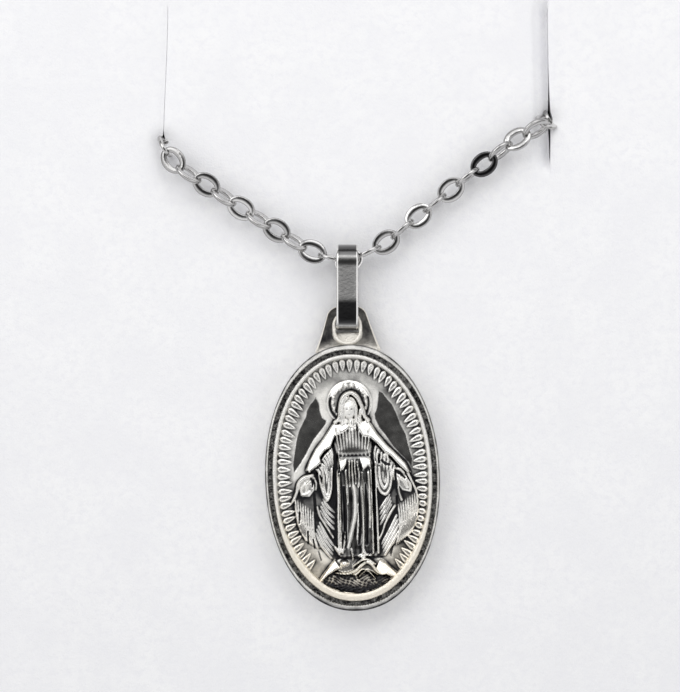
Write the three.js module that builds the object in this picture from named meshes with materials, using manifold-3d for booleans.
// An oval religious medal on a cable chain, lying on a padded display card with two slits.
// Millimetres, +Z up. The card lies on its back, and its bottom centre is the origin.
// +X is to the viewer's right and +Y is towards the slits.

import * as THREE from "three";
import { mergeVertices } from "three/addons/utils/BufferGeometryUtils.js";
import Module from "manifold-3d";

const wasm = await Module();
wasm.setup();

// Driving dimensions

const pad = {
  width: 104,
  length: 124,
  height: 10,
  plate: 4, // thickness of the padded top
  wall: 2.5, // thickness of the turned-down skirt
  cornerRadius: 7,
  edgeRadius: 1.6,
};

const slit = {
  spacing: 32.1, // from one slit to the other
  low: 36.3, // y of the lower ends
  length: 13,
  gap: 0.7,
  eyeletClearance: 0.45, // round the chain where it goes through
  leftRise: 1.8, // from the lower end to the left eyelet
  rightRise: 3.6,
};

const medal = {
  halfWidth: 7.28,
  halfHeight: 11.1,
  fullness: 2.1, // exponent of the oval, where 2 is an ellipse
  thickness: 1.8,
  centre: [-0.4, 10],
  tilt: 2, // degrees, its top leaning to the left
  padGap: 0.2,
};

const rim = {
  chamfer: 0.2,
  flat: 0.12, // the polished band round the edge
  groove: 0.36,
  grooveDepth: 0.35,
  land: 0.25,
  apron: 0.3, // from the land to the field that the figure's tables divide
  drop: 0.62, // from the rim's top to the ground of the relief
};

const band = {
  width: 1.4, // the ornament band, inside the land
  leafPitch: 0.6,
  leafHeight: 0.26,
  share: 0.76, // part of a leaf's pitch that the leaf fills
};

const relief = {
  height: 0.75, // highest point above the ground
  sink: 0.2, // how deep each form is rooted in the plate
  pocket: 0.14, // depth of the dark polished fields
};

const lug = {
  topHalfWidth: 1.62,
  rise: 3.3, // above the top of the oval
  thickness: 0.7,
  collarThickness: 1.05,
  holeHalfWidth: 0.96,
  holeHeight: 2.3,
  holeMargin: 0.2, // from the oval's top to the hole
  footHalfWidth: 2.75,
};

const bail = {
  width: 1.82,
  strap: 0.34,
  length: 7.16,
  chainRadius: 1.45, // outside radius of the end that holds the chain
  lugRadius: 1.0, // outside radius of the end in the lug
  padGap: 0.1,
  drop: 1.33, // from the hole's top down to the end of the bail
  bevel: 0.1,
};

const link = {
  pitch: 1.743,
  width: 1.95,
  endThickness: 0.36,
  sideThickness: 0.42,
  flatness: 0.36, // thickness of the filed link
  contact: 0.05, // depth of the worn seat where two links bear on each other
  halfGap: 0.24, // clearance between the two halves of the chain
  seatShift: 0.15, // how far right of the bail's middle the link in the bail lies
};

const clasp = {
  ringRadius: 2.25,
  ringWire: 0.5, // radius
  jumpRadius: 0.95,
  jumpWire: 0.28, // radius
  lever: 0.9,
  gap: 0.3,
};

// Sizes that follow from them

const padTop = pad.height;
const tiltAngle = THREE.MathUtils.degToRad(medal.tilt);
const rimTotal = rim.chamfer + rim.flat + rim.groove + rim.land;
const fieldHalfWidth = medal.halfWidth - rimTotal - rim.apron;
const fieldHalfHeight = medal.halfHeight - rimTotal - rim.apron;
const groundZ = medal.thickness - rim.drop;
const holeLow = medal.halfHeight + lug.holeMargin;
const holeHigh = holeLow + lug.holeHeight;
const lugTop = medal.halfHeight + lug.rise;
const lugMidZ = medal.thickness / 2;
const bailLow = holeHigh - bail.drop;
const bailHigh = bailLow + bail.length;
const bailChainY = bailHigh - bail.chainRadius;
const bailPivotY = bailLow + bail.strap / 2; // where the bail turns in the lug's hole
const chainRadius = link.width / 2;

// Helpers

function solidOf(geometry) {
  const bare = geometry.clone();
  for (const name of Object.keys(bare.attributes)) {
    if (name !== "position") bare.deleteAttribute(name);
  }
  const merged = mergeVertices(bare, 1e-4);
  const make = (triVerts) =>
    new wasm.Manifold(
      new wasm.Mesh({
        numProp: 3,
        vertProperties: new Float32Array(merged.attributes.position.array),
        triVerts,
      }),
    );
  const triangles = new Uint32Array(merged.index.array);
  const made = make(triangles);
  return made.volume() < 0 ? make(triangles.reverse()) : made;
}

function geometryOf(solid) {
  const mesh = solid.getMesh();
  const geometry = new THREE.BufferGeometry();
  geometry.setAttribute("position", new THREE.BufferAttribute(mesh.vertProperties, 3));
  geometry.setIndex(new THREE.BufferAttribute(mesh.triVerts, 1));
  const flat = geometry.toNonIndexed();
  flat.computeVertexNormals();
  return flat;
}

// A closed skin through rings of as many points each, with a fan over each end.
function loft(rings) {
  const count = rings[0].length;
  const points = rings.flat();
  const index = [];
  for (let r = 0; r + 1 < rings.length; r++) {
    for (let i = 0; i < count; i++) {
      const j = (i + 1) % count;
      const a = r * count + i;
      const b = r * count + j;
      index.push(a, b, a + count, b, b + count, a + count);
    }
  }
  const fan = (start, flip) => {
    const ring = points.slice(start, start + count);
    const middle = ring.reduce((sum, p) => sum.add(p), new THREE.Vector3()).divideScalar(count);
    points.push(middle);
    for (let i = 0; i < count; i++) {
      const a = start + i;
      const b = start + ((i + 1) % count);
      index.push(points.length - 1, flip ? b : a, flip ? a : b);
    }
  };
  fan(0, true);
  fan((rings.length - 1) * count, false);
  const geometry = new THREE.BufferGeometry().setFromPoints(points);
  geometry.setIndex(index);
  return solidOf(geometry);
}

// A closed ring-shaped skin: the last section joins the first.
function ringLoft(sections) {
  const count = sections[0].length;
  const index = [];
  sections.forEach((section, r) => {
    const next = ((r + 1) % sections.length) * count;
    for (let i = 0; i < count; i++) {
      const j = (i + 1) % count;
      const here = r * count;
      index.push(here + i, here + j, next + i, here + j, next + j, next + i);
    }
  });
  const geometry = new THREE.BufferGeometry().setFromPoints(sections.flat());
  geometry.setIndex(index);
  return solidOf(geometry);
}

function shapeOf(points) {
  return new THREE.Shape(points.map(([x, y]) => new THREE.Vector2(x, y)));
}

function extrude(shape, low, high) {
  const geometry = new THREE.ExtrudeGeometry(shape, {
    depth: high - low,
    bevelEnabled: false,
    curveSegments: 10,
  });
  return solidOf(geometry.translate(0, 0, low));
}

function union(solids) {
  return solids.reduce((sum, s) => sum.add(s));
}

// Display pad

function roundedRectangle(halfX, halfY, radius, z, steps = 4) {
  const ring = [];
  const corners = [
    [1, 1, 0],
    [-1, 1, 90],
    [-1, -1, 180],
    [1, -1, 270],
  ];
  for (const [signX, signY, start] of corners) {
    for (let i = 0; i <= steps; i++) {
      const angle = THREE.MathUtils.degToRad(start + (90 * i) / steps);
      const x = signX * (halfX - radius) + radius * Math.cos(angle);
      const y = signY * (halfY - radius) + radius * Math.sin(angle);
      ring.push(new THREE.Vector3(x, y, z));
    }
  }
  return ring;
}

function eyeletAt(side) {
  return [(side * slit.spacing) / 2, slit.low + (side < 0 ? slit.leftRise : slit.rightRise)];
}

function makePad() {
  const halfX = pad.width / 2;
  const halfY = pad.length / 2;
  const ring = (inset, z) =>
    roundedRectangle(halfX - inset, halfY - inset, pad.cornerRadius - inset, z);
  const edge = [0, 30, 60, 90].map((degrees) => {
    const angle = THREE.MathUtils.degToRad(degrees);
    const inset = pad.edgeRadius * (1 - Math.cos(angle));
    return ring(inset, padTop - pad.edgeRadius + pad.edgeRadius * Math.sin(angle));
  });
  let solid = loft([ring(0, 0), ...edge]);
  const hollow = loft([ring(pad.wall, -1), ring(pad.wall, padTop - pad.plate)]);
  solid = solid.subtract(hollow);
  for (const side of [-1, 1]) {
    const x = (side * slit.spacing) / 2;
    const cut = shapeOf([
      [x - slit.gap / 2, slit.low],
      [x + slit.gap / 2, slit.low],
      [x + slit.gap / 2, slit.low + slit.length],
      [x - slit.gap / 2, slit.low + slit.length],
    ]);
    solid = solid.subtract(extrude(cut, 0.5, padTop + 1));
    const eyelet = new THREE.CylinderGeometry(
      chainRadius + slit.eyeletClearance,
      chainRadius + slit.eyeletClearance,
      pad.height + 2,
      16,
    );
    const [ex, ey] = eyeletAt(side);
    eyelet.rotateX(Math.PI / 2).translate(ex, ey, padTop);
    solid = solid.subtract(solidOf(eyelet));
  }
  return solid;
}

// Medal

const ovalSteps = 56;

function ovalPoint(angle, inset) {
  const power = 2 / medal.fullness;
  const c = Math.cos(angle);
  const s = Math.sin(angle);
  return [
    (medal.halfWidth - inset) * Math.sign(c) * Math.abs(c) ** power,
    (medal.halfHeight - inset) * Math.sign(s) * Math.abs(s) ** power,
  ];
}

function ovalRing(inset, z) {
  const ring = [];
  for (let i = 0; i < ovalSteps; i++) {
    const [x, y] = ovalPoint((2 * Math.PI * i) / ovalSteps, inset);
    ring.push(new THREE.Vector3(x, y, z));
  }
  return ring;
}

function makeDisc() {
  const top = medal.thickness;
  const grooveStart = rim.chamfer + rim.flat;
  const grooveEnd = grooveStart + rim.groove;
  const profile = [
    [rim.chamfer, 0],
    [0, rim.chamfer],
    [0, top - rim.chamfer],
    [rim.chamfer, top],
    [grooveStart, top],
    [grooveStart + rim.groove / 4, top - rim.grooveDepth],
    [grooveEnd - rim.groove / 4, top - rim.grooveDepth],
    [grooveEnd, top - rim.groove / 4],
    [rimTotal, top - rim.groove / 4],
    [rimTotal + 0.1, groundZ],
  ];
  return loft(profile.map(([inset, z]) => ovalRing(inset, z)));
}

// The figure's tables give x in hundredths of the field's half width, y in hundredths of its
// half height, widths in hundredths of its half width, and heights in hundredths of relief.height.

const fieldX = (share) => (share * fieldHalfWidth) / 100;
const fieldY = (share) => (share * fieldHalfHeight) / 100;
const rise = (share) => (share * relief.height) / 100;

// A raised fold along a smooth line: its section is a low arch, narrowing to the ends given.
function ridge({ line, width, height, facets = 2, steps = 4 }) {
  const curve = new THREE.SplineCurve(
    line.map(([x, y]) => new THREE.Vector2(fieldX(x), fieldY(y))),
  );
  const rings = [];
  for (let i = 0; i <= steps; i++) {
    const u = i / steps;
    const at = curve.getPoint(u);
    const along = curve.getTangent(u);
    const across = new THREE.Vector2(-along.y, along.x);
    const half = fieldX(valueAt(width, u));
    const high = rise(valueAt(height, u));
    const ring = [];
    for (let k = 0; k <= facets; k++) {
      const angle = (Math.PI * k) / facets;
      const offset = half * Math.cos(angle);
      const z = groundZ + Math.max(high * Math.sin(angle), 0);
      ring.push(new THREE.Vector3(at.x + across.x * offset, at.y + across.y * offset, z));
    }
    for (const offset of [-half, half]) {
      const z = groundZ - relief.sink;
      ring.push(new THREE.Vector3(at.x + across.x * offset, at.y + across.y * offset, z));
    }
    rings.push(ring);
  }
  return loft(rings);
}

// Reads a list of values that are spread evenly over 0 to 1.
function valueAt(list, u) {
  const place = u * (list.length - 1);
  const low = Math.min(Math.floor(place), list.length - 2);
  return THREE.MathUtils.lerp(list[low], list[low + 1], place - low);
}

// A rounded mass standing on the ground.
function mound({ at, half, height, across = 10, rings = 3 }) {
  const geometry = new THREE.SphereGeometry(1, across, rings * 2);
  geometry.rotateX(Math.PI / 2);
  geometry.scale(fieldX(half[0]), fieldX(half[1]), rise(height));
  geometry.translate(fieldX(at[0]), fieldY(at[1]), groundZ);
  return solidOf(geometry);
}

// The gown, from the neck to the hem: y, the x of its two sides and the height of each section.
const gownSections = [
  { y: 46, left: -8, right: 11, height: 55 },
  { y: 39, left: -24, right: 27, height: 74 },
  { y: 29, left: -24, right: 28, height: 84 },
  { y: 19, left: -20, right: 26, height: 62 },
  { y: 13, left: -21, right: 29, height: 84 },
  { y: -20, left: -21, right: 32, height: 86 },
  { y: -60, left: -25, right: 32, height: 84 },
  { y: -67, left: -23, right: 32, height: 50 },
];

function makeGown() {
  const facets = 6;
  return loft(
    gownSections.map(({ y, left, right, height }) => {
      const middle = (left + right) / 2;
      const half = (right - left) / 2;
      const ring = [];
      for (let k = 0; k <= facets; k++) {
        const angle = (Math.PI * k) / facets;
        const x = fieldX(middle + half * Math.cos(angle));
        const z = groundZ + rise(height) * Math.sin(angle) ** 0.7;
        ring.push(new THREE.Vector3(x, fieldY(y), z));
      }
      for (const x of [left, right]) {
        ring.push(new THREE.Vector3(fieldX(x), fieldY(y), groundZ - relief.sink));
      }
      return ring;
    }),
  );
}

// Folds standing on the gown: the bodice, the belt's lower edge and the skirt.
const gownFolds = [
  { line: [[-19, 36], [-18, 28], [-16, 21]], width: [2, 3, 2], height: [80, 88, 74] },
  { line: [[-10, 35], [-9, 28], [-8, 21]], width: [2, 3, 2], height: [86, 98, 82] },
  { line: [[0, 34], [0, 28], [1, 21]], width: [2, 3, 2], height: [88, 100, 84] },
  { line: [[10, 35], [10, 28], [10, 21]], width: [2, 3, 2], height: [86, 100, 82] },
  { line: [[20, 36], [20, 28], [19, 21]], width: [2, 3, 2], height: [80, 92, 76] },
  { line: [[-18, 13], [-10, 14.5], [-3, 14]], width: [4, 6, 3], height: [84, 104, 90] },
  { line: [[8, 14], [17, 14], [26, 11]], width: [3, 6, 4], height: [90, 104, 84] },
  { line: [[-18, 8], [-19, -25], [-21, -64]], width: [2, 2.5, 3], height: [84, 86, 84] },
  { line: [[-12, 8], [-14, -25], [-17, -62]], width: [1.5, 2, 3], height: [94, 92, 90] },
  { line: [[1, 12], [2, 4], [2, -4]], width: [2, 2, 1.5], height: [104, 102, 98] },
  { line: [[2, -7], [2, -34], [-8, -62]], width: [2, 3.5, 4], height: [110, 112, 104] },
  { line: [[14, 8], [16, -25], [12, -63]], width: [2, 3, 3.5], height: [104, 104, 98] },
  { line: [[25, 6], [26, -25], [25, -64]], width: [2, 3, 3], height: [92, 92, 90] },
  { line: [[31, 4], [32, -30], [31, -66]], width: [1.5, 2, 2], height: [66, 66, 62] },
];

// The mantle's cloth, which hangs from each arm.
const mantlePanels = {
  left: [
    [-20, 30], [-48, 12], [-64, 2], [-77, -9], [-81, -24],
    [-75, -38], [-64, -52], [-54, -58], [-42, -60], [-31, -69], [-22, -68],
  ],
  right: [
    [24, 30], [54, 15], [76, 4], [88, -10], [91, -22],
    [86, -37], [75, -49], [62, -55], [50, -60], [40, -67], [30, -68],
  ],
};

// Folds of the mantle: over the shoulders and arms, the sleeves' drapes and the hanging cloth.
const mantleFolds = [
  { line: [[-5, 45], [-20, 41], [-36, 27], [-50, 13], [-66, 2]],
    width: [8, 12, 9, 8, 5], height: [92, 96, 88, 80, 66], facets: 4, steps: 8 },
  { line: [[8, 45], [24, 41], [41, 28], [58, 15], [77, 4]],
    width: [8, 12, 9, 8, 5], height: [92, 96, 88, 80, 66], facets: 4, steps: 8 },
  { line: [[-60, 4], [-70, -3], [-78, -14], [-80, -22]], width: [4, 4, 3, 2],
    height: [66, 62, 50, 36] },
  { line: [[74, 5], [83, -3], [89, -12], [92, -19]], width: [4, 4, 3, 2],
    height: [66, 62, 50, 36] },
  { line: [[-48, 10], [-46, -4], [-37, -15], [-29, -4], [-28, 12]], width: [2, 3, 3.5, 3, 2],
    height: [62, 62, 64, 62, 60], steps: 6 },
  { line: [[-41, 8], [-40, 0], [-36, -6], [-33, 0], [-33, 8]], width: [2, 2, 2.5, 2, 2],
    height: [56, 56, 58, 56, 54], steps: 6 },
  { line: [[35, 12], [37, -4], [46, -13], [54, -4], [54, 8]], width: [2, 3, 3.5, 3, 2],
    height: [62, 62, 64, 62, 60], steps: 6 },
  { line: [[42, 9], [43, 0], [47, -5], [50, 0], [49, 7]], width: [2, 2, 2.5, 2, 2],
    height: [56, 56, 58, 56, 54], steps: 6 },
  { line: [[-43, -19], [-36, -29], [-27, -38]], width: [2, 2.5, 1.5], height: [54, 56, 44] },
  { line: [[-46, -27], [-38, -40], [-28, -51]], width: [2, 2.5, 1.5], height: [54, 56, 44] },
  { line: [[-48, -37], [-40, -50], [-29, -62]], width: [2, 2.5, 1.5], height: [52, 54, 42] },
  { line: [[50, -17], [43, -28], [36, -36]], width: [2, 2.5, 1.5], height: [54, 56, 44] },
  { line: [[56, -22], [48, -35], [37, -46]], width: [2, 2.5, 1.5], height: [54, 56, 44] },
  { line: [[61, -30], [51, -45], [38, -58]], width: [2, 2.5, 1.5], height: [52, 54, 42] },
  { line: [[-53, -12], [-54, -34], [-53, -54]], width: [2, 2.5, 2], height: [54, 54, 44] },
  { line: [[-60, -14], [-61, -32], [-60, -51]], width: [2, 2.5, 2], height: [54, 52, 42] },
  { line: [[-67, -16], [-68, -30], [-66, -45]], width: [2, 2.5, 2], height: [52, 50, 40] },
  { line: [[-74, -18], [-74, -27], [-72, -38]], width: [2, 2.5, 2], height: [48, 46, 36] },
  { line: [[65, -10], [66, -32], [65, -50]], width: [2, 2.5, 2], height: [54, 54, 44] },
  { line: [[72, -12], [73, -30], [72, -46]], width: [2, 2.5, 2], height: [54, 52, 42] },
  { line: [[79, -14], [80, -28], [78, -42]], width: [2, 2.5, 2], height: [52, 50, 40] },
  { line: [[85, -17], [86, -26], [84, -35]], width: [2, 2.5, 2], height: [48, 46, 36] },
];

function makeFigure() {
  const panels = Object.values(mantlePanels).map((corners) => {
    const outline = shapeOf(corners.map(([x, y]) => [fieldX(x), fieldY(y)]));
    return extrude(outline, groundZ - relief.sink, groundZ + rise(32));
  });
  return union([
    makeGown(),
    ...gownFolds.map(ridge),
    ...panels,
    ...mantleFolds.map(ridge),
    mound({ at: [-66, -8], half: [7, 6], height: 70, across: 8 }),
    mound({ at: [76, -9], half: [7, 6], height: 70, across: 8 }),
  ]);
}

const halo = { at: [-0.8, 63], radius: 31, starRadius: 21.5, stars: 12, starSpan: 252 };

// The halo's section: distance from its middle and height.
const haloProfile = [
  { r: 31, height: 20 },
  { r: 29.5, height: 46 },
  { r: 27, height: 46 },
  { r: 25.5, height: 22 },
  { r: 0, height: 22 },
];

function makeHalo() {
  const [cx, cy] = [fieldX(halo.at[0]), fieldY(halo.at[1])];
  const low = groundZ - relief.sink;
  const points = [
    new THREE.Vector2(0, low),
    new THREE.Vector2(fieldX(halo.radius), low),
    ...haloProfile.map(({ r, height }) => new THREE.Vector2(fieldX(r), groundZ + rise(height))),
    new THREE.Vector2(0, low),
  ];
  const disc = new THREE.LatheGeometry(points, 24);
  disc.rotateX(Math.PI / 2).translate(cx, cy, 0);
  const stars = [];
  for (let i = 0; i < halo.stars; i++) {
    const share = i / (halo.stars - 1) - 0.5;
    const angle = Math.PI / 2 + THREE.MathUtils.degToRad(share * halo.starSpan);
    const star = new THREE.CylinderGeometry(fieldX(1.2), fieldX(2.6), rise(30), 5);
    star.rotateX(Math.PI / 2);
    const reach = fieldX(halo.starRadius);
    star.translate(cx + reach * Math.cos(angle), cy + reach * Math.sin(angle), groundZ + rise(32));
    stars.push(solidOf(star));
  }
  // The brim is thickest at its top.
  const crown = [30, 60, 90, 120, 150].map((degrees) => {
    const angle = THREE.MathUtils.degToRad(degrees);
    const reach = halo.radius - 5;
    const up = (reach * Math.sin(angle) * fieldX(1)) / fieldY(1);
    return [halo.at[0] + reach * Math.cos(angle), halo.at[1] + up];
  });
  return union([
    solidOf(disc),
    ...stars,
    ridge({ line: crown, width: [1, 4, 5, 4, 1], height: [40, 54, 58, 54, 40],
      facets: 3, steps: 8 }),
  ]);
}

// The veil round a plain oval face, leaning a little to the left.
const headForms = [
  { at: [-1, 59.5], half: [14.5, 19], height: 82, across: 12, rings: 3 },
  { at: [-1.5, 57], half: [8, 12], height: 104, across: 10, rings: 4 },
  { at: [1, 47], half: [5, 10], height: 84, across: 8, rings: 3 },
];

const veilEdges = [
  { line: [[-14, 50], [-13.5, 61], [-8, 68], [0, 70.5], [8, 68], [13, 62], [15, 50]],
    width: [4, 4, 4, 4, 4, 4, 4], height: [80, 92, 100, 102, 100, 92, 80],
    facets: 4, steps: 10 },
  { line: [[-14, 54], [-18, 48], [-24, 42]], width: [5, 6, 4], height: [84, 90, 80] },
  { line: [[15, 54], [20, 48], [27, 42]], width: [5, 6, 4], height: [84, 90, 80] },
];

function makeHead() {
  return union([makeHalo(), ...headForms.map(mound), ...veilEdges.map(ridge)]);
}

const globe = { at: [4, -97], radius: 55, height: 88, margin: 0.4 };

// The serpent over the globe, and the two feet.
const serpent = [
  { line: [[-24, -79], [-12, -78.5], [0, -76.5], [8, -71.5], [16, -69.5], [24, -72], [33, -76]],
    width: [1.5, 3, 3.5, 3.5, 3.5, 3, 1.5], height: [74, 92, 98, 104, 104, 96, 80],
    facets: 3, steps: 10 },
  { line: [[2, -82], [9, -78], [15, -75], [21, -77], [27, -81.5], [36, -83], [44, -80]],
    width: [1, 2.5, 2.5, 2.5, 2.5, 2.5, 1], height: [84, 98, 100, 98, 92, 82, 64],
    facets: 3, steps: 10 },
];

const feet = [
  { at: [-15, -70], half: [7, 5], height: 100, across: 8 },
  { at: [12, -67], half: [7, 5], height: 100, across: 8 },
];

function makeGlobe() {
  const bulge = new THREE.SphereGeometry(1, 28, 12);
  bulge.rotateX(Math.PI / 2);
  bulge.scale(fieldX(globe.radius), fieldX(globe.radius), rise(globe.height));
  bulge.translate(fieldX(globe.at[0]), fieldY(globe.at[1]), groundZ);
  const limit = loft([
    ovalRing(rimTotal + globe.margin, groundZ - relief.sink),
    ovalRing(rimTotal + globe.margin, groundZ + relief.height * 2),
  ]);
  return union([
    solidOf(bulge).intersect(limit),
    ...serpent.map(ridge),
    ...feet.map(mound),
  ]);
}

// The polished fields beside the head and shoulders, sunk below the ground.
const fieldPockets = {
  left: [
    [-42, 74], [-38, 62], [-34, 48], [-40, 40], [-55, 22], [-66, 8],
    [-71, 5], [-73, 14], [-70, 28], [-64, 42], [-56, 55], [-50, 64],
  ],
  right: [
    [42, 77], [40, 62], [37, 52], [43, 45], [56, 30], [70, 17],
    [82, 8], [84, 14], [81, 28], [75, 42], [67, 55], [58, 65],
  ],
};

// A leaf of the ornament band points inwards, with a rib along its middle.
function makeLeaf(angle) {
  const [ox, oy] = ovalPoint(angle, rimTotal + band.width * 0.12);
  const [ix, iy] = ovalPoint(angle, rimTotal + band.width * 0.88);
  const reach = new THREE.Vector2(ix - ox, iy - oy);
  const across = new THREE.Vector2(-reach.y, reach.x).normalize();
  const half = (band.leafPitch * band.share) / 2;
  const stations = [
    { along: 0, half: half * 0.35, high: 0.6 },
    { along: 0.35, half, high: 1 },
    { along: 1, half: half * 0.2, high: 0.5 },
  ];
  return loft(
    stations.map(({ along, half: w, high }) => {
      const x = ox + reach.x * along;
      const y = oy + reach.y * along;
      const low = groundZ - relief.sink;
      return [
        new THREE.Vector3(x + across.x * w, y + across.y * w, low),
        new THREE.Vector3(x + across.x * w, y + across.y * w, groundZ),
        new THREE.Vector3(x, y, groundZ + band.leafHeight * high),
        new THREE.Vector3(x - across.x * w, y - across.y * w, groundZ),
        new THREE.Vector3(x - across.x * w, y - across.y * w, low),
      ];
    }),
  );
}

// Angles at which leaves of even pitch stand round the band, leaving the globe's foot bare.
function leafAngles() {
  const fine = 2000;
  const start = THREE.MathUtils.degToRad(-50);
  const end = Math.PI - start;
  const angles = [];
  let travelled = band.leafPitch;
  let before = ovalPoint(start, rimTotal + band.width / 2);
  for (let i = 1; i <= fine; i++) {
    const angle = start + ((end - start) * i) / fine;
    const here = ovalPoint(angle, rimTotal + band.width / 2);
    travelled += Math.hypot(here[0] - before[0], here[1] - before[1]);
    before = here;
    if (travelled >= band.leafPitch) {
      angles.push(angle);
      travelled -= band.leafPitch;
    }
  }
  return angles;
}

// The part of the lug's outline and of its raised collar, as shares of the lug's own sizes.
function makeLug() {
  const base = medal.halfHeight - rimTotal;
  const foot = medal.halfHeight - lug.footHalfWidth ** 2 / (2 * medal.halfWidth);
  const top = lug.topHalfWidth;
  const outline = new THREE.Shape();
  outline.moveTo(-lug.footHalfWidth, base);
  outline.lineTo(-lug.footHalfWidth, foot);
  outline.quadraticCurveTo(-top * 1.35, foot + lug.rise * 0.4, -top, lugTop - lug.rise * 0.2);
  outline.quadraticCurveTo(-top * 0.8, lugTop, 0, lugTop);
  outline.quadraticCurveTo(top * 0.8, lugTop, top, lugTop - lug.rise * 0.2);
  outline.quadraticCurveTo(top * 1.35, foot + lug.rise * 0.4, lug.footHalfWidth, foot);
  outline.lineTo(lug.footHalfWidth, base);
  const collarTop = (holeHigh + lugTop) / 2;
  const collar = new THREE.Shape();
  const neck = (lug.holeHalfWidth + top) / 2;
  collar.moveTo(-neck * 1.5, base);
  collar.quadraticCurveTo(-neck, holeLow + lug.holeHeight * 0.2, -neck, holeHigh - neck * 0.4);
  collar.quadraticCurveTo(-neck * 0.8, collarTop, 0, collarTop);
  collar.quadraticCurveTo(neck * 0.8, collarTop, neck, holeHigh - neck * 0.4);
  collar.quadraticCurveTo(neck, holeLow + lug.holeHeight * 0.2, neck * 1.5, base);
  const hole = new THREE.Shape();
  const r = lug.holeHalfWidth;
  hole.absarc(0, holeLow + r, r, Math.PI, 2 * Math.PI, false);
  hole.absarc(0, holeHigh - r, r, 0, Math.PI, false);
  return extrude(outline, lugMidZ - lug.thickness / 2, lugMidZ + lug.thickness / 2)
    .add(extrude(collar, lugMidZ - lug.collarThickness / 2, lugMidZ + lug.collarThickness / 2))
    .subtract(extrude(hole, -1, medal.thickness + 1));
}

function makeMedal() {
  const pockets = Object.values(fieldPockets).map((corners) => {
    const outline = shapeOf(corners.map(([x, y]) => [fieldX(x), fieldY(y)]));
    return extrude(outline, groundZ - relief.pocket, medal.thickness + 1);
  });
  const plate = makeDisc().add(makeLug()).subtract(union(pockets));
  return union([plate, makeFigure(), makeHead(), makeGlobe(), ...leafAngles().map(makeLeaf)]);
}

// Bail

function makeBail() {
  // Seen from the side: a band round two circles, both standing on the pad.
  const floor = bail.padGap - medal.padGap;
  const ends = [
    { y: bailChainY, z: floor + bail.chainRadius, radius: bail.chainRadius },
    { y: bailLow + bail.lugRadius, z: floor + bail.lugRadius, radius: bail.lugRadius },
  ];
  const [upper, lower] = ends;
  const lean = Math.asin(
    (upper.radius - lower.radius) / Math.hypot(upper.y - lower.y, upper.z - lower.z),
  );
  const slope = Math.atan2(upper.z - lower.z, upper.y - lower.y);
  const outline = (shrink) => {
    const path = new THREE.Shape();
    const from = slope - Math.PI / 2 - lean;
    const to = slope + Math.PI / 2 + lean;
    path.absarc(upper.y, upper.z, upper.radius - shrink, from, to, false);
    path.absarc(lower.y, lower.z, lower.radius - shrink, to, from + 2 * Math.PI, false);
    return path;
  };
  const shape = outline(bail.bevel);
  shape.holes.push(outline(bail.strap - bail.bevel));
  const geometry = new THREE.ExtrudeGeometry(shape, {
    depth: bail.width - 2 * bail.bevel,
    curveSegments: 6,
    bevelThickness: bail.bevel,
    bevelSize: bail.bevel,
    bevelSegments: 1,
  });
  // The shape's x and y become the medal's y and z, and the extrusion runs along x.
  const turn = new THREE.Matrix4().makeBasis(
    new THREE.Vector3(0, 1, 0),
    new THREE.Vector3(0, 0, 1),
    new THREE.Vector3(1, 0, 0),
  );
  geometry.translate(0, 0, bail.bevel - bail.width / 2);
  return solidOf(geometry.applyMatrix4(turn));
}

// Chain

const linkSides = 5;
const linkSteps = 12;
const insideFace = Math.cos(Math.PI / linkSides);

function makeLink() {
  const half = {
    end: link.endThickness / 2,
    side: link.sideThickness / 2,
  };
  const reach = (link.pitch - link.contact) / 2 + half.end * insideFace;
  const spread = chainRadius - half.side;
  const sections = [];
  for (let i = 0; i < linkSteps; i++) {
    const angle = (2 * Math.PI * i) / linkSteps;
    const c = Math.cos(angle);
    const s = Math.sin(angle);
    const out = new THREE.Vector3(c * spread, s * reach, 0).normalize();
    const wire = THREE.MathUtils.lerp(half.side, half.end, c * c);
    const section = [];
    for (let k = 0; k < linkSides; k++) {
      const turn = (2 * Math.PI * k) / linkSides;
      const point = new THREE.Vector3(c * reach, s * spread, 0);
      point.addScaledVector(out, wire * Math.cos(turn));
      point.z = (link.flatness / 2) * Math.sin(turn);
      section.push(point);
    }
    sections.push(section);
  }
  return geometryOf(ringLoft(sections));
}

// Where the chain passes through the bail, in the part's own frame. The bail stands upright on
// the card although the medal leans.
function bailSeat() {
  const pivot = new THREE.Vector2(0, bailPivotY).rotateAround(new THREE.Vector2(), tiltAngle);
  return [medal.centre[0] + pivot.x, medal.centre[1] + pivot.y + bailChainY - bailPivotY];
}

const seatZ = padTop + bail.padGap + bail.chainRadius;
const underZ = chainRadius + 0.1;
const seat = bailSeat();
const loopX = pad.width / 2 - pad.wall - chainRadius - 0.6;
const loopY = pad.length / 2 - pad.wall - clasp.ringRadius - clasp.ringWire - 0.8;

const loopTop = pad.length / 2 - pad.wall - 9;

// The chain's visible run, from the bail to its eyelet: share of the way, how far it sags below
// the straight line, and its height above the pad.
const visibleRun = {
  left: [
    { share: 0.168, sag: 0.93, lift: 1.4 },
    { share: 0.357, sag: 1.07, lift: 1.1 },
    { share: 0.541, sag: 1.18, lift: 1.1 },
    { share: 0.717, sag: 1.15, lift: 1.1 },
    { share: 0.885, sag: 1.13, lift: 1.1 },
    { share: 0.974, sag: 0.54, lift: 0.45 },
  ],
  right: [
    { share: 0.15, sag: 0.52, lift: 1.4 },
    { share: 0.325, sag: 0.32, lift: 1.1 },
    { share: 0.489, sag: 0.11, lift: 1.1 },
    { share: 0.663, sag: -0.05, lift: 1.1 },
    { share: 0.847, sag: -0.19, lift: 1.1 },
    { share: 0.953, sag: 0.05, lift: 0.8 },
  ],
};

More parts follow.
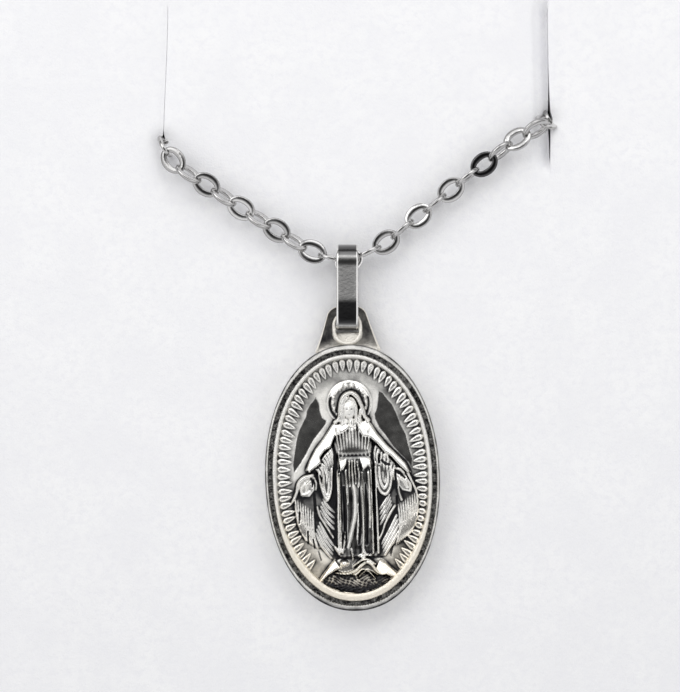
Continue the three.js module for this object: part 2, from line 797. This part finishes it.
// The whole route of one half: along the pad, down its eyelet and round inside the skirt.
function routeOf(name) {
  const side = name === "left" ? -1 : 1;
  const [ex, ey] = eyeletAt(side);
  const away = new THREE.Vector2(ex - seat[0], ey - seat[1]);
  const down = new THREE.Vector2(-away.y, away.x).normalize().multiplyScalar(-side);
  const visible = visibleRun[name].map(({ share, sag, lift }) => [
    seat[0] + away.x * share + down.x * sag,
    seat[1] + away.y * share + down.y * sag,
    padTop + lift,
  ]);
  const points = [
    [seat[0], seat[1], seatZ],
    ...visible,
    [ex, ey, padTop - 1.3],
    [ex, ey + 0.3, padTop - pad.plate - 0.4],
    [ex + side * 0.6, ey + 1.3, underZ + 1.2],
    [ex + side * 3.2, ey + 3.7, underZ],
    [ex + side * 10, loopTop - 3.6, underZ],
    [side * (loopX - 11), loopTop, underZ],
    [side * (loopX - 2.2), loopTop - 6.5, underZ],
    [side * loopX, pad.length / 4, underZ],
    [side * loopX, 0, underZ],
    [side * loopX, -pad.length / 4, underZ],
    [side * (loopX - 2.2), -loopY + 8, underZ],
    [side * (loopX - 11), -loopY + 0.8, underZ],
    [side * loopX * 0.42, -loopY, underZ],
    [side, -loopY, underZ],
  ];
  return points.map(([x, y, z]) => new THREE.Vector3(x, y, z));
}

// How far each link is rolled about the chain's line, in degrees, from the bail outwards. The
// right run hangs clear and so alternates flat and upright; the left run leans on the pad.
const linkRoll = {
  left: [84, 12, 66, -30, 58, -22, 62, -28, 60, -24, 66, -20, 74, -14, 80],
  right: [90, 4, 86, -6, 94, 0, 88, 8, 96, -30, 56, -28, 62, -10, 80],
};

function makeHalfChain(side) {
  const curve = new THREE.CatmullRomCurve3(routeOf(side), false, "centripetal");
  curve.arcLengthDivisions = 2000;
  const length = curve.getLength();
  const pieces = [];
  const linkShape = makeLink();
  const place = (distance, roll) => {
    const at = curve.getPointAt(distance / length);
    const along = curve.getTangentAt(distance / length);
    const up = new THREE.Vector3(0, 0, 1);
    const level = new THREE.Vector3().crossVectors(up, along);
    if (level.length() < 0.2) level.set(1, 0, 0);
    level.addScaledVector(along, -level.dot(along)).normalize();
    level.applyAxisAngle(along, THREE.MathUtils.degToRad(roll));
    const normal = new THREE.Vector3().crossVectors(along, level);
    const matrix = new THREE.Matrix4().makeBasis(along, level, normal).setPosition(at);
    pieces.push(solidOf(linkShape.clone().applyMatrix4(matrix)));
  };
  // The right half holds the link in the bail; the left half hooks on to it with a clearance.
  const first = side === "right" ? link.seatShift : -link.seatShift - link.contact - link.halfGap;
  if (side === "right") place(first, 0);
  const rolls = linkRoll[side];
  let distance = first + link.pitch;
  for (const roll of rolls) {
    place(distance, roll);
    distance += link.pitch;
  }
  // Beyond the eyelet the chain is a plain round cord of the chain's own width.
  const start = distance - link.pitch * 0.75;
  const far = clasp.ringRadius + clasp.ringWire + 2 * clasp.jumpRadius + clasp.gap;
  const end = length + 1 - far;
  const steps = 31;
  const rings = [];
  for (let i = 0; i <= steps; i++) {
    const u = THREE.MathUtils.lerp(start, end, i / steps) / length;
    const at = curve.getPointAt(u);
    const along = curve.getTangentAt(u);
    const level = new THREE.Vector3(-along.y, along.x, 0);
    if (level.length() < 0.3) level.set(1, 0, 0);
    level.addScaledVector(along, -level.dot(along)).normalize();
    const other = new THREE.Vector3().crossVectors(along, level);
    const ring = [];
    for (let k = 0; k < 8; k++) {
      const angle = (Math.PI * (2 * k + 1)) / 8;
      ring.push(
        at.clone()
          .addScaledVector(level, chainRadius * Math.cos(angle))
          .addScaledVector(other, chainRadius * Math.sin(angle)),
      );
    }
    rings.push(ring);
  }
  pieces.push(loft(rings));
  return union(pieces);
}

// Clasp

function ringOf(radius, wire, steps, sides) {
  return solidOf(new THREE.TorusGeometry(radius, wire, sides, steps));
}

function makeClasp() {
  const jumpAt = clasp.ringRadius + clasp.ringWire + clasp.jumpRadius - clasp.jumpWire * 1.5;
  const jump = (side) => {
    const geometry = new THREE.TorusGeometry(clasp.jumpRadius, clasp.jumpWire, 5, 10);
    return solidOf(geometry.translate(side * jumpAt, 0, 0));
  };
  const lever = new THREE.CylinderGeometry(clasp.ringWire * 0.5, clasp.ringWire * 0.6, clasp.lever, 6);
  lever.translate(0, clasp.ringRadius + clasp.ringWire + clasp.lever * 0.2, 0);
  lever.rotateZ(Math.PI - 0.6);
  return union([
    ringOf(clasp.ringRadius, clasp.ringWire, 16, 6),
    jump(-1),
    jump(1),
    solidOf(lever),
  ]);
}

// Assembly

const silver = { color: 0xc9c7c1, metalness: 0.95, roughness: 0.28 };
const materials = {
  medal: new THREE.MeshStandardMaterial(silver),
  bail: new THREE.MeshStandardMaterial({ ...silver, color: 0x8e8d89, roughness: 0.2 }),
  chain: new THREE.MeshStandardMaterial({ ...silver, roughness: 0.22 }),
  flock: new THREE.MeshStandardMaterial({ color: 0xf2f2f3, metalness: 0, roughness: 0.95 }),
};

function named(name, solid, material) {
  const mesh = new THREE.Mesh(geometryOf(solid), material);
  mesh.name = name;
  return mesh;
}

const part = new THREE.Group();
part.add(named("display_pad", makePad(), materials.flock));

const pendant = new THREE.Group();
pendant.add(named("medal", makeMedal(), materials.medal));
const bailMesh = named("bail", makeBail(), materials.bail);
bailMesh.geometry.translate(0, -bailPivotY, 0);
bailMesh.position.set(0, bailPivotY, 0);
bailMesh.rotation.z = -tiltAngle;
pendant.add(bailMesh);
pendant.position.set(medal.centre[0], medal.centre[1], padTop + medal.padGap);
pendant.rotation.z = tiltAngle;
part.add(pendant);

part.add(named("chain_left", makeHalfChain("left"), materials.chain));
part.add(named("chain_right", makeHalfChain("right"), materials.chain));

const claspMesh = named("clasp", makeClasp(), materials.chain);
claspMesh.position.set(0, -loopY, clasp.ringWire + 0.05);
part.add(claspMesh);

export default part;
